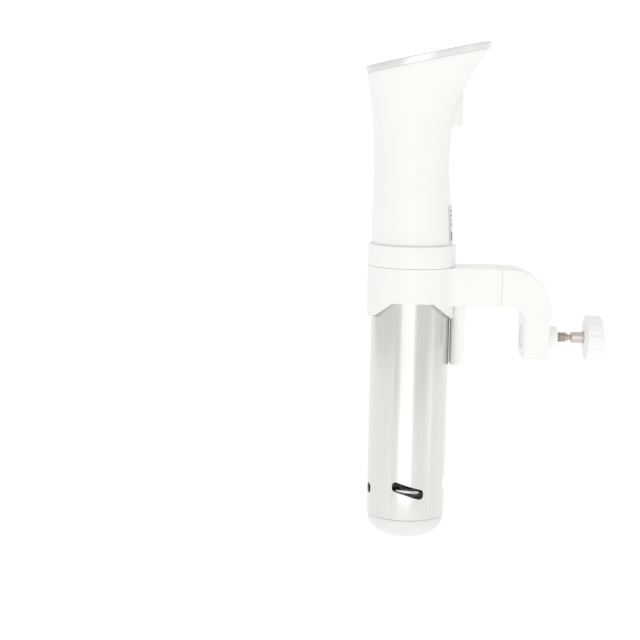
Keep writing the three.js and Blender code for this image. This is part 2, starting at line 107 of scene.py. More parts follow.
def skin(rings, closed=False):  # rings of points, each ring as long as the next
    bm = bmesh.new()
    order = bm.verts.layers.int.new("order")
    bmesh.ops.create_circle(bm, cap_ends=False, radius=1, segments=len(rings[0]))
    for i, vert in enumerate(bm.verts):
        vert[order] = i
        vert.co = rings[0][i]
    edges = bm.edges[:]
    firstEdges = edges
    for ring in rings[1:] + (rings[:1] if closed else []):
        made = bmesh.ops.extrude_edge_only(bm, edges=edges)["geom"]
        for vert in made:
            if isinstance(vert, bmesh.types.BMVert):
                vert.co = ring[vert[order]]
        edges = [g for g in made if isinstance(g, bmesh.types.BMEdge) and g.is_boundary]
    if not closed:
        bmesh.ops.edgeloop_fill(bm, edges=firstEdges)
        bmesh.ops.edgeloop_fill(bm, edges=edges)
    return cleanUp(bm)


def slab(outline, low, high, plane="XZ"):  # a flat outline in mm, extruded along its normal
    bm = bmesh.new()
    place = {"XZ": lambda u, v, w: at(u, w, v), "XY": at}[plane]
    face = bm.faces.new([bm.verts.new(place(u, v, low)) for u, v in outline])
    made = bmesh.ops.extrude_face_region(bm, geom=[face])["geom"]
    shift = place(0, 0, high) - place(0, 0, low)
    bmesh.ops.translate(bm, vec=shift, verts=[g for g in made if isinstance(g, bmesh.types.BMVert)])
    return cleanUp(bm)


def block(low, high):
    bm = bmesh.new()
    made = bmesh.ops.create_cube(bm, size=1)["verts"]
    size = Vector(high) - Vector(low)
    middle = (Vector(high) + Vector(low)) / 2
    bmesh.ops.scale(bm, vec=size * mm, verts=made)
    bmesh.ops.translate(bm, vec=at(*middle), verts=made)
    return bm


def softenEdges(bm, width, segments=3, angle=30, pick=None):
    edges = [e for e in bm.edges if len(e.link_faces) == 2 and e.calc_face_angle(0) > math.radians(angle)
             and (pick is None or pick(e))]
    bmesh.ops.bevel(bm, geom=edges, offset=width * mm, affect="EDGES", segments=segments, profile=0.5,
                    material=-1, clamp_overlap=True)
    return bm


def meshOf(bm, name="work"):
    mesh = bpy.data.meshes.new(name)
    bm.to_mesh(mesh)
    bm.free()
    return mesh


def carve(bm, tool, operation="DIFFERENCE"):
    body = bpy.data.objects.new("work", meshOf(bm))
    cutter = bpy.data.objects.new("cutter", meshOf(tool))
    for obj in (body, cutter):
        bpy.context.scene.collection.objects.link(obj)
    step = body.modifiers.new("cut", "BOOLEAN")
    step.operation = operation
    step.solver = "EXACT"
    step.object = cutter
    bpy.context.view_layer.update()
    result = bpy.data.meshes.new_from_object(body.evaluated_get(bpy.context.evaluated_depsgraph_get()))
    done = bmesh.new()
    done.from_mesh(result)
    for obj in (body, cutter):
        bpy.data.objects.remove(obj)
    bmesh.ops.remove_doubles(done, verts=done.verts, dist=2e-6)
    bmesh.ops.dissolve_degenerate(done, edges=done.edges, dist=1e-6)
    return done


def joined(*parts):
    whole = bmesh.new()
    for part in parts:
        whole.from_mesh(meshOf(part))
    return whole


def piece(name, bm, body, material, replaced=(), sharp=32, weighted=False):
    for face in bm.faces:
        face.smooth = True
    for edge in bm.edges:
        edge.smooth = len(edge.link_faces) == 2 and edge.calc_face_angle(0) < math.radians(sharp)
    obj = bpy.data.objects.new(name, meshOf(bm, name))
    bpy.context.scene.collection.objects.link(obj)
    obj.data.materials.append(material)
    if weighted:
        tidy = obj.modifiers.new("evenShading", "WEIGHTED_NORMAL")
        tidy.keep_sharp = True
    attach(obj, body)
    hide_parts(*replaced)
    return obj


def newGroup(name, inputs, outputs):
    tree = bpy.data.node_groups.new(name, "ShaderNodeTree")
    for label, value in inputs.items():
        tree.interface.new_socket(label, in_out="INPUT", socket_type="NodeSocketFloat").default_value = value
    for label in outputs:
        tree.interface.new_socket(label, in_out="OUTPUT", socket_type="NodeSocketFloat")
    return tree, tree.nodes.new("NodeGroupInput"), tree.nodes.new("NodeGroupOutput")


def makeGrain():  # fine moulded grain, with a slow drift of gloss
    tree, entry, exit = newGroup("mouldedGrain", {"Size": 900.0, "Drift": 18.0}, ["Height", "Tone"])
    coords = tree.nodes.new("ShaderNodeTexCoord")
    fine = tree.nodes.new("ShaderNodeTexNoise")
    fine.inputs["Detail"].default_value = 3
    slow = tree.nodes.new("ShaderNodeTexNoise")
    slow.inputs["Detail"].default_value = 4
    for noise, label in ((fine, "Size"), (slow, "Drift")):
        tree.links.new(coords.outputs["Object"], noise.inputs["Vector"])
        tree.links.new(entry.outputs[label], noise.inputs["Scale"])
    tree.links.new(fine.outputs["Fac"], exit.inputs["Height"])
    tree.links.new(slow.outputs["Fac"], exit.inputs["Tone"])
    return tree


def makeBrush():  # long fine scratches along one axis
    tree, entry, exit = newGroup("brushedLines", {"Across": 2600.0, "Along": 14.0, "Turn": 0.0},
                                 ["Height", "Tone"])
    coords = tree.nodes.new("ShaderNodeTexCoord")
    stretch = tree.nodes.new("ShaderNodeCombineXYZ")
    turn = tree.nodes.new("ShaderNodeVectorRotate")
    turn.rotation_type = "Y_AXIS"
    scale = tree.nodes.new("ShaderNodeVectorMath")
    scale.operation = "MULTIPLY"
    tree.links.new(coords.outputs["Object"], turn.inputs["Vector"])
    tree.links.new(entry.outputs["Turn"], turn.inputs["Angle"])
    tree.links.new(turn.outputs["Vector"], scale.inputs[0])
    tree.links.new(entry.outputs["Across"], stretch.inputs["X"])
    tree.links.new(entry.outputs["Across"], stretch.inputs["Y"])
    tree.links.new(entry.outputs["Along"], stretch.inputs["Z"])
    tree.links.new(stretch.outputs["Vector"], scale.inputs[1])
    for detail, label in ((2, "Height"), (6, "Tone")):
        noise = tree.nodes.new("ShaderNodeTexNoise")
        noise.inputs["Scale"].default_value = 1.0 if label == "Height" else 0.35
        noise.inputs["Detail"].default_value = detail
        tree.links.new(scale.outputs["Vector"], noise.inputs["Vector"])
        tree.links.new(noise.outputs["Fac"], exit.inputs[label])
    return tree


effects = {"grain": makeGrain(), "brush": makeBrush()}
bumpDepth = 0.00005


def finish(name, look):  # one principled surface, with an effect that varies its tone, gloss and height
    material = bpy.data.materials.new(name)
    material.use_nodes = True
    tree = material.node_tree
    shader = tree.nodes["Principled BSDF"]
    for label, value in look.get("shader", {}).items():
        shader.inputs[label].default_value = value
    shader.inputs["Metallic"].default_value = look.get("metallic", 0)
    effect = tree.nodes.new("ShaderNodeGroup")
    effect.node_tree = effects[look.get("effect", "grain")]
    for label, value in look.get("effectSizes", {}).items():
        effect.inputs[label].default_value = value
    tint = tree.nodes.new("ShaderNodeMix")
    tint.data_type = "RGBA"
    tint.inputs["A"].default_value = (*look["dark"], 1)
    tint.inputs["B"].default_value = (*look["light"], 1)
    tree.links.new(effect.outputs["Tone"], tint.inputs["Factor"])
    tree.links.new(tint.outputs["Result"], shader.inputs["Base Color"])
    gloss = tree.nodes.new("ShaderNodeMapRange")
    gloss.inputs["To Min"].default_value = look["rough"][0]
    gloss.inputs["To Max"].default_value = look["rough"][1]
    tree.links.new(effect.outputs["Tone"], gloss.inputs["Value"])
    tree.links.new(gloss.outputs["Result"], shader.inputs["Roughness"])
    bump = tree.nodes.new("ShaderNodeBump")
    bump.inputs["Strength"].default_value = look.get("bump", 0.1)
    bump.inputs["Distance"].default_value = bumpDepth
    tree.links.new(effect.outputs["Height"], bump.inputs["Height"])
    tree.links.new(bump.outputs["Normal"], shader.inputs["Normal"])
    return material


along = {"Across": 2600.0, "Along": 14.0}
looks = {
    "whitePlastic": {"dark": (0.865, 0.865, 0.85), "light": (0.90, 0.90, 0.885), "rough": (0.36, 0.46),
                     "bump": 0.12, "shader": {"Specular IOR Level": 0.45}},
    "capPlastic": {"dark": (0.74, 0.74, 0.735), "light": (0.79, 0.79, 0.785), "rough": (0.32, 0.42),
                   "bump": 0.1, "shader": {"Subsurface Weight": 0.12, "Subsurface Scale": 0.003,
                                           "Subsurface Radius": (1, 1, 1)}},
    "creamPlastic": {"dark": (0.83, 0.825, 0.79), "light": (0.87, 0.865, 0.835), "rough": (0.35, 0.45),
                     "bump": 0.1},
    "blackPlastic": {"dark": (0.012, 0.012, 0.014), "light": (0.03, 0.03, 0.033), "rough": (0.45, 0.6)},
    "sealRubber": {"dark": (0.012, 0.012, 0.012), "light": (0.03, 0.03, 0.03), "rough": (0.7, 0.85)},
    "circuitBoard": {"dark": (0.008, 0.10, 0.045), "light": (0.015, 0.16, 0.07), "rough": (0.25, 0.45),
                     "effectSizes": {"Drift": 160.0}},
    "greyLabel": {"dark": (0.66, 0.66, 0.66), "light": (0.71, 0.71, 0.71), "rough": (0.4, 0.5)},
    "labelInk": {"dark": (0.27, 0.27, 0.27), "light": (0.33, 0.33, 0.33), "rough": (0.5, 0.6)},
    "silverTrim": {"dark": (0.72, 0.72, 0.71), "light": (0.80, 0.80, 0.79), "rough": (0.26, 0.34),
                   "metallic": 0.9, "bump": 0.04},
    "brushedTube": {"dark": (0.68, 0.67, 0.65), "light": (0.78, 0.77, 0.75), "rough": (0.16, 0.25),
                    "metallic": 1.0, "effect": "brush", "effectSizes": along, "bump": 0.12,
                    "shader": {"Anisotropic": 0.35}},
    "brightSteel": {"dark": (0.56, 0.56, 0.55), "light": (0.66, 0.66, 0.65), "rough": (0.14, 0.26),
                    "metallic": 1.0, "bump": 0.04},
    "screwSteel": {"dark": (0.54, 0.50, 0.48), "light": (0.66, 0.62, 0.60), "rough": (0.22, 0.34),
                   "metallic": 1.0, "effect": "brush", "effectSizes": {**along, "Turn": math.pi / 2},
                   "bump": 0.08},
    "motorSteel": {"dark": (0.30, 0.31, 0.33), "light": (0.38, 0.39, 0.41), "rough": (0.3, 0.42),
                   "metallic": 1.0, "effect": "brush", "effectSizes": along},
    "bareAluminium": {"dark": (0.52, 0.53, 0.54), "light": (0.62, 0.63, 0.64), "rough": (0.3, 0.42),
                      "metallic": 1.0, "effect": "brush", "effectSizes": along},
    "bearingBronze": {"dark": (0.52, 0.36, 0.14), "light": (0.64, 0.47, 0.21), "rough": (0.25, 0.4),
                      "metallic": 1.0},
    "copperWinding": {"dark": (0.42, 0.17, 0.07), "light": (0.60, 0.27, 0.12), "rough": (0.3, 0.45),
                      "metallic": 1.0, "effectSizes": {"Size": 2200.0}},
    "darkGlass": {"dark": (0.004, 0.004, 0.005), "light": (0.006, 0.006, 0.007), "rough": (0.04, 0.07),
                  "bump": 0.0, "shader": {"Coat Weight": 0.6, "Coat Roughness": 0.03}},
    "litDigit": {"dark": (0.7, 0.85, 0.9), "light": (0.8, 0.95, 1.0), "rough": (0.3, 0.4),
                 "shader": {"Emission Color": (0.65, 0.9, 1.0, 1), "Emission Strength": 1.6}},
    "printedMark": {"dark": (0.5, 0.5, 0.5), "light": (0.6, 0.6, 0.6), "rough": (0.4, 0.5)},
}
paint = {name: finish(name, look) for name, look in looks.items()}
print("materials ready")

slotPaint = {
    "white_plastic": "whitePlastic", "cap_plastic": "capPlastic", "cream_plastic": "creamPlastic",
    "black_plastic": "blackPlastic", "circuit_board": "circuitBoard", "grey_label": "greyLabel",
    "silver_trim": "silverTrim", "brushed_tube": "brushedTube", "bright_steel": "brightSteel",
    "screw_steel": "screwSteel", "motor_steel": "motorSteel", "bare_aluminium": "bareAluminium",
    "bearing_bronze": "bearingBronze", "copper_winding": "copperWinding", "seal_rubber": "sealRubber",
    "dark_glass": "darkGlass",
}
for row in frame["record"]["subparts"]:
    mesh = nodes[row["node"]].data
    mesh.materials.clear()
    mesh.materials.append(paint[slotPaint[row["material_slot"]]])

head = {
    "bottom": 45.02, "wall": 2.4, "bezel": 5.4, "gap": 0.08, "sides": 144,
    "tip": (54.4, 195.5), "slope": 0.218,
    # height, left edge, right edge and half width of the oval sections
    "sections": [
        (44.9, -30.6, 30.0, 30.2), (75, -30.4, 28.4, 29.4), (105, -30.1, 26.1, 28.3),
        (130, -31.1, 27.4, 28.5), (150, -33.3, 32.0, 29.4), (165, -35.6, 38.2, 30.6),
        (180, -38.7, 46.9, 31.9), (190, -40.6, 53.5, 32.6), (206, -44.0, 56.5, 33.6),
    ],
}


def sectionAt(z):  # smooth curve through the sections
    rows = head["sections"]
    i = max(0, min(len(rows) - 2, next((k for k, row in enumerate(rows[1:]) if z <= row[0]), len(rows) - 2)))
    z0, z1 = rows[i][0], rows[i + 1][0]
    t = (z - z0) / (z1 - z0)
    values = []
    for k in (1, 2, 3):
        def slopeAt(j):
            a, b = max(0, j - 1), min(len(rows) - 1, j + 1)
            return (rows[b][k] - rows[a][k]) / (rows[b][0] - rows[a][0]) * (z1 - z0)
        p0, p1 = rows[i][k], rows[i + 1][k]
        m0, m1 = slopeAt(i), slopeAt(i + 1)
        values.append((2 * t**3 - 3 * t**2 + 1) * p0 + (t**3 - 2 * t**2 + t) * m0
                      + (3 * t**2 - 2 * t**3) * p1 + (t**3 - t**2) * m1)
    return values


def topHeight(x):
    return head["tip"][1] + (x - head["tip"][0]) * head["slope"]


def sidePoint(turn, inset, z):
    left, right, half = sectionAt(z)
    reach = (right - left) / 2 - inset
    return (left + right) / 2 + reach * math.cos(turn), (half - inset) * math.sin(turn)


def topPoint(turn, inset, depth):  # a point on the housing's side, so deep under the slanted top
    rounds = 14  # the height and the place settle together
    z = topHeight(0)
    for _ in range(rounds):
        x, y = sidePoint(turn, inset, z)
        z = topHeight(x) - depth
    return x, y, z


def turns():
    return [fullTurn * i / head["sides"] for i in range(head["sides"])]


def topRing(inset, depth):
    return [at(*topPoint(turn, inset, depth)) for turn in turns()]


def sideRing(inset, share, low, depth):  # share 0 at the bottom, 1 under the slanted top
    ring = []
    for turn in turns():
        z = low + (topPoint(turn, inset, depth)[2] - low) * share
        x, y = sidePoint(turn, inset, z)
        ring.append(at(x, y, z))
    return ring


def levelRing(inset, z):
    return [at(*sidePoint(turn, inset, z), z) for turn in turns()]


def makeHousing():
    depth = head["bezel"] + head["gap"]
    lip = 0.2
    rings = [levelRing(lip, head["bottom"]), levelRing(lip * 0.3, head["bottom"] + lip * 0.3)]
    rings += [sideRing(0, share / 44, head["bottom"] + lip, depth + lip) for share in range(45)]
    rings += [topRing(lip * 0.3, depth + lip * 0.3), topRing(lip, depth)]
    rings += [sideRing(head["wall"], 1 - share / 20, head["bottom"], depth) for share in range(21)]
    return piece("upperHousing", skin(rings, closed=True), "circulator",
                 paint["whitePlastic"], ["upper_housing"])


def makeBezel():
    profile = roundCorners([(0, 5.4, 0.15), (0, 0, 0.9), (3.4, 0, 0.5), (3.4, 3.4, 0.1),
                            (6, 3.4, 0.2), (6, 5.4, 0.2)], 5)
    rings = [topRing(inset, depth) for inset, depth in profile]
    piece("topBezel", skin(rings, closed=True), "circulator", paint["silverTrim"],
          ["top_bezel"])


def makePanel():
    glass = [topRing(inset, depth) for inset, depth in
             [(4.3, 2.3), (3.8, 2.0), (3.8, 0.9), (3.95, 0.6), (4.3, 0.5)]]
    piece("touchGlass", skin(glass), "circulator", paint["darkGlass"], ["touch_glass"])
    gasket = [topRing(inset, depth) for inset, depth in
              roundCorners([(3.8, 3.1, 0.15), (3.8, 2.6, 0.15), (6.4, 2.6, 0.15), (6.4, 3.1, 0.15)], 2)]
    piece("panelGasket", skin(gasket, closed=True), "circulator", paint["sealRubber"],
          ["panel_gasket"])
    board = [topRing(inset, depth) for inset, depth in [(7.6, 9.8), (7.5, 9.7), (7.5, 8.3), (7.6, 8.2)]]
    piece("displayBoard", skin(board), "circulator", paint["circuitBoard"],
          ["display_board"])


# the panel is read from the side away from the clamp: digits run towards -Y and stand towards +X
panel = {"digit": (7.5, 13.0), "stroke": 1.7, "gap": 3.2, "midX": 3.0, "depth": 0.5, "thick": 0.12,
         "shown": "600", "sunk": -0.02}
segmentsOf = {"0": "abcdef", "6": "afgedc"}


def panelBar(u0, u1, v0, v1):  # a thin bar on the glass, u to the reader's right, v up
    edge = min(u1 - u0, v1 - v0) * 0.3
    outline = roundCorners([(u0, v0, edge), (u1, v0, edge), (u1, v1, edge), (u0, v1, edge)], 3)
    rings = []
    for lift in (panel["sunk"], panel["thick"]):
        rings.append([at(panel["midX"] + v, -u, topHeight(panel["midX"] + v) - panel["depth"] + lift)
                      for u, v in outline])
    return skin(rings)


def panelRing(u, v, radius, stroke):
    count = 40
    rings = []
    for r, lift in ((radius - stroke, panel["sunk"]), (radius, panel["sunk"]),
                    (radius, panel["thick"]), (radius - stroke, panel["thick"])):
        ring = []
        for i in range(count):
            x = panel["midX"] + v + r * math.sin(fullTurn * i / count)
            y = -(u + r * math.cos(fullTurn * i / count))
            ring.append(at(x, y, topHeight(x) - panel["depth"] + lift))
        rings.append(ring)
    return skin(rings, closed=True)


def makeDigits():
    wide, tall = panel["digit"]
    s = panel["stroke"]
    half = tall / 2
    bars = {"a": (s / 2, wide - s / 2, tall - s, tall), "d": (s / 2, wide - s / 2, 0, s),
            "g": (s / 2, wide - s / 2, half - s / 2, half + s / 2), "f": (0, s, half + 0.3, tall - 0.3),
            "b": (wide - s, wide, half + 0.3, tall - 0.3), "e": (0, s, 0.3, half - 0.3),
            "c": (wide - s, wide, 0.3, half - 0.3)}
    start = -(3 * wide + 2 * panel["gap"]) / 2
    parts = []
    for i, digit in enumerate(panel["shown"]):
        u = start + i * (wide + panel["gap"])
        for name in segmentsOf[digit]:
            u0, u1, v0, v1 = bars[name]
            parts.append(panelBar(u + u0, u + u1, v0, v1))
        if i + 2 == len(panel["shown"]):
            parts.append(panelBar(u + wide + 0.8, u + wide + 0.8 + s, 0, s))
    piece("litDigits", joined(*parts), "circulator", paint["litDigit"])
    marks = [panelRing(0, -22, 4.2, 0.5), panelBar(-0.3, 0.3, -21.5, -19.5),
             panelBar(-16, -12, -12.3, -11.7), panelBar(12, 16, -12.3, -11.7),
             panelBar(13.7, 14.3, -14, -10), panelRing(-14, -12, 4.2, 0.4), panelRing(14, -12, 4.2, 0.4)]
    piece("touchMarks", joined(*marks), "circulator", paint["printedMark"])


label = {"halfWidth": 13, "low": 46.8, "high": 74, "lift": 0.18, "thick": 0.22}


def labelPoint(y, z, lift):
    left, right, half = sectionAt(z)
    turn = math.asin(y / half)
    x, y2 = sidePoint(turn, -lift, z)
    return at(x, y2, z)


def labelPatch(y0, y1, z0, z1, lift, thick):
    bm = bmesh.new()
    bmesh.ops.create_grid(bm, x_segments=24, y_segments=12, size=0.5)
    for vert in bm.verts:
        vert.co = labelPoint(y0 + (vert.co.x + 0.5) * (y1 - y0), z0 + (vert.co.y + 0.5) * (z1 - z0), lift)
    bmesh.ops.recalc_face_normals(bm, faces=bm.faces)
    if sum((f.normal.x for f in bm.faces)) > 0:
        bmesh.ops.reverse_faces(bm, faces=bm.faces)
    bmesh.ops.solidify(bm, geom=bm.faces[:], thickness=thick * mm)
    bmesh.ops.recalc_face_normals(bm, faces=bm.faces)
    return bm


def makeLabel():
    w, low, high = label["halfWidth"], label["low"], label["high"]
    piece("ratingLabel", labelPatch(-w, w, low, high, label["lift"], label["thick"]), "circulator",
          paint["greyLabel"], ["rating_label"])
    lift = label["lift"] + label["thick"] + 0.02
    rules = [labelPatch(-w + 2, w - 2 - 4 * (i % 3), high - 4 - 3.4 * i, high - 3.2 - 3.4 * i, lift, 0.03)
             for i in range(4)]
    rules.append(labelPatch(-w + 2, -w + 9, low + 2, low + 8, lift, 0.03))
    piece("labelRules", joined(*rules), "circulator", paint["labelInk"])


inlet = {"outer": 34.4, "bottom": 132.3, "top": 157, "halfWidth": 10}


def makeInlet():
    outer, bottom, top, half = inlet["outer"], inlet["bottom"], inlet["top"], inlet["halfWidth"]
    plan = roundCorners([(24, -half, 0), (outer, -half, 2.4), (outer, half, 2.4), (24, half, 0)], 6)
    rings = []
    for z, inset, push in ((bottom, 0.7, 0), (bottom + 0.2, 0.25, 0), (bottom + 0.8, 0, 0),
                           (top - 8, 0, 0), (top - 3, 0.2, 0.4), (top, 1.0, 0.6)):
        rings.append([at(min(x, outer - inset) + (push if x > 30 else 0), y * (1 - inset / half), z)
                      for x, y in plan])
    body = skin(rings)
    body = carve(body, skin([levelRing(0.3, z) for z in range(124, 172, 3)]))
    bore = slab(roundCorners([(29, -4.5, 1.2), (33.4, -4.5, 1.2), (33.4, 4.5, 1.2), (29, 4.5, 1.2)]),
                bottom - 2, 144, "XY")
    body = carve(body, bore)
    piece("inletShroud", body, "circulator", paint["creamPlastic"], ["inlet_shroud"])


collar = {"radius": 33, "bottom": 29.2, "lipBottom": 28.6, "top": 44.9, "flange": 41, "bore": 24,
          "spigot": 27.2, "spigotTop": 46.6}


def makeCollar():
    c = collar
    clear = tubeRadius / mm + 0.4
    # a thin lip hangs outside the washer, and another stands inside the housing
    profile = roundCorners([(c["radius"] - 0.35, c["bottom"], 0), (c["radius"] - 0.35, c["lipBottom"], 0.1),
                            (c["radius"], c["lipBottom"], 0.15), (c["radius"], c["top"], 1.1),
                            (c["spigot"], c["top"], 0), (c["spigot"], c["spigotTop"], 0.3),
                            (c["spigot"] - 1, c["spigotTop"], 0.3), (c["spigot"] - 1, c["top"], 0),
                            (c["bore"], c["top"], 0.3), (c["bore"], c["flange"], 0.3),
                            (clear, c["flange"], 0), (clear, c["bottom"], 0.3)])
    piece("collar", lathe(profile), "circulator", paint["whitePlastic"], ["collar"])
    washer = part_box("seat_washer")
    low, high = washer[0].z / mm, washer[1].z / mm
    profile = roundCorners([(32.5, low, 0.1), (32.5, high, 0.1), (30.2, high, 0.1), (30.2, low, 0.1)], 2)
    piece("seatWasher", lathe(profile), "carrier", paint["sealRubber"], ["seat_washer"])


slot = {"count": 4, "length": 23.5, "height": 7.8, "corner": 2.8, "z": -138.5, "slope": -17}


def makeSkirt():
    radius, wall = tubeRadius / mm, 1.0
    top, bottom = tubeHigh.z / mm, tubeLow.z / mm
    profile = roundCorners([(radius, bottom, 0.3), (radius, top, 0.3), (radius - wall, top, 0.3),
                            (radius - wall, bottom, 0.3)], 3)
    tube = lathe(profile, steps=160)
    drop = math.tan(math.radians(slot["slope"])) * slot["length"] / 2
    long, tall, r = slot["length"] / 2, slot["height"] / 2, slot["corner"]
    outline = roundCorners([(-long, -tall - drop, r), (long, -tall + drop, r), (long, tall + drop, r),
                            (-long, tall - drop, r)], 7)
    outline = [(u, v + slot["z"]) for u, v in outline]
    for i in range(slot["count"]):
        cutter = slab(outline, -radius - 6, -radius + 6)
        bmesh.ops.rotate(cutter, cent=at(0, 0, 0), verts=cutter.verts,
                         matrix=Matrix.Rotation(fullTurn * i / slot["count"], 3, "Z"))
        tube = carve(tube, cutter)
    piece("skirtTube", tube, "sleeve", paint["brushedTube"], ["skirt_tube"])


cap = {"radius": 29, "wall": 2, "band": 0.6, "bottom": -179.5, "fullness": 2.2, "spigotTop": -152,
       "gap": 0.3, "grooveTop": -155.6, "grooveBottom": -157.6, "grooveDepth": 1.1,
       "slots": 8, "slotWidth": 3.6, "slotIn": 6, "slotOut": 17}


def domeArc(radius, height, rim, steps):  # a quarter of a superellipse, down to the pole
    power = 2 / cap["fullness"]
    turned = [math.pi / 2 * i / steps for i in range(1, steps)]
    arc = [(radius * math.cos(t) ** power, rim - height * math.sin(t) ** power) for t in turned]
    return arc + [(0, rim - height)]


def makeCap():
    rim = tubeLow.z / mm - cap["gap"]
    edge = rim - cap["band"]
    inner = cap["radius"] - cap["wall"] - 1
    spigot = tubeRadius / mm - 1.35
    outside = [(cap["radius"], rim - 0.3), (cap["radius"], edge)]
    outside += domeArc(cap["radius"], edge - cap["bottom"], edge, 24)
    inside = domeArc(inner, edge - cap["bottom"] - cap["wall"], edge, 18)[::-1]
    grooved = spigot - cap["grooveDepth"]
    top = [(inner, edge), (inner, cap["spigotTop"] - 0.4), (inner + 0.4, cap["spigotTop"]),
           (spigot - 0.4, cap["spigotTop"]), (spigot, cap["spigotTop"] - 0.4),
           (spigot, cap["grooveTop"]), (grooved, cap["grooveTop"]), (grooved, cap["grooveBottom"]),
           (spigot, cap["grooveBottom"]), (spigot, rim), (cap["radius"] - 0.3, rim)]
    profile = [(max(r, 0), h) for r, h in inside + top + outside]
    body = lathe(profile, closed=False)
    w, a, b = cap["slotWidth"] / 2, cap["slotIn"], cap["slotOut"]
    r = w * 0.95
    for i in range(cap["slots"]):
        gate = slab(roundCorners([(a, -w, r), (b, -w, r), (b, w, r), (a, w, r)]),
                    cap["bottom"] - 5, edge - 1, "XY")
        bmesh.ops.rotate(gate, cent=at(0, 0, 0), verts=gate.verts,
                         matrix=Matrix.Rotation(fullTurn * i / cap["slots"], 3, "Z"))
        body = carve(body, gate)
    piece("endCap", body, "cap", paint["capPlastic"], ["end_cap"])


def makeSeals():
    for name, node, body, radius, section, height in (
            ("capSeal", "cap_seal", "cap", 27.9, 0.6, -156.6),
            ("bulkheadSeal", "bulkhead_seal", "circulator", 27.75, 0.65, 34.8)):
        angles = [fullTurn * i / 14 for i in range(14)]
        ring = [(radius + section * math.cos(t), height + section * math.sin(t)) for t in angles]
        piece(name, lathe(ring, steps=96), body, paint["sealRubber"], [node])


arm = {"top": 28.4, "half": 19, "end": 66.4, "ringRadius": 33, "bore": 30.2, "foot": -9.5, "fillet": 9,
       "leg": 40.5, "legFoot": -45.4, "legHalf": 12, "legRound": 7, "legGap": 0.3, "legEdge": 2.5,
       "band": 3.3, "bandDepth": 0.16, "edge": 0.7,
       "boltY": 11, "boltZ": 14, "boltRadius": 4.3, "boltFrom": 24, "boltTo": 41.3}
relief = {"halfTop": 15.2, "top": 2.5, "halfFoot": 31, "foot": -9.6, "start": 30, "flare": 12}


def reliefCutter(side, grow, near, far):  # a wedge that widens outwards by grow
    def face(g, y):
        foot, top = relief["halfFoot"] + g, relief["halfTop"] + g / 2
        low, high = relief["foot"] - 1, relief["top"] + g
        return [at(x, side * y, z) for x, z in ((-foot, low), (foot, low), (top, high), (-top, high))]
    return skin([face(0, near), face(grow, far)])


def armOutline():
    r, half, f = arm["ringRadius"], arm["half"], arm["fillet"]
    filletX = math.sqrt((r + f) ** 2 - (half + f) ** 2)
    meet = math.atan2(half + f, filletX)
    points = [(arm["end"], half)]
    for i in range(9):
        turn = -math.pi / 2 - (math.pi / 2 - meet) * i / 8
        points.append((filletX + f * math.cos(turn), half + f + f * math.sin(turn)))
    steps = 120
    points += [(r * math.cos(meet + (fullTurn - 2 * meet) * i / steps),
                r * math.sin(meet + (fullTurn - 2 * meet) * i / steps)) for i in range(1, steps)]
    points += [(x, -y) for x, y in reversed(points[:10])]
    return points


def makeArm():
    a = arm
    body = slab(armOutline(), a["foot"], a["top"], "XY")
    under = block((a["ringRadius"] * 0.7, -60, a["foot"] - 5), (a["end"] + 5, 60, 0))
    under = carve(under, lathe([(0, -30), (a["ringRadius"], -30), (a["ringRadius"], 20), (0, 20)], steps=160,
                               closed=False))
    body = carve(body, under)
    for side in (-1, 1):
        start, flare = relief["start"], relief["flare"]
        body = carve(body, reliefCutter(side, 0, 5, start + flare))
        body = carve(body, reliefCutter(side, flare, start, start + flare))
    back = a["bore"] + a["legGap"]
    legOutline = [(back, 3), (back, a["legFoot"]), (a["leg"] - a["legEdge"], a["legFoot"]),
                  (a["leg"], a["legFoot"] + a["legEdge"]), (a["leg"], 3)]
    leg = slab(legOutline, -a["legHalf"], a["legHalf"])

    def upTheBack(edge):
        first, second = (vert.co for vert in edge.verts)
        return max(first.x, second.x) < axisX + (back + 0.1) * mm and abs(first.y - second.y) < 1e-5

    softenEdges(leg, a["legRound"], 8, 30, upTheBack)
    body = carve(body, leg, "UNION")
    bore = lathe([(0, -60), (a["bore"], -60), (a["bore"], 60), (0, 60)], steps=160, closed=False)
    body = carve(body, bore)
    band = block((a["end"] - a["band"], -60, -40), (a["end"] + 5, 60, 60))
    d = a["bandDepth"]
    core = block((a["end"] - 40, -a["half"] + d, d), (a["end"] + 9, a["half"] - d, a["top"] - d))
    band = carve(band, core)
    body = carve(body, band)
    for y in (-a["boltY"], a["boltY"]):
        r, near, far = a["boltRadius"], a["boltFrom"], a["boltTo"]
        boltHole = lathe([(0, near), (r, near), (r, far), (0, far)], "X", 32, False, (0, y, a["boltZ"]))
        body = carve(body, boltHole)
    softenEdges(body, a["edge"], 3, 38)
    bmesh.ops.recalc_face_normals(body, faces=body.faces)
    piece("clampArm", body, "clamp", paint["whitePlastic"], ["clamp_arm"], 40, True)


jaw = {"start": 66.52, "face": 84, "outer": 103.8, "outerFoot": 102.2, "bottom": -39, "bend": 30,
       "fillet": 10.5, "edge": 1.1, "seamEdge": 0.12, "bossRadius": 8.1, "bossEnd": 111, "bore": 6.8,
       "pocket": 8.8, "pocketEnd": 87.4}
insert = {"inner": 4.4, "outer": 6.5, "start": 88.5, "end": 110.7}


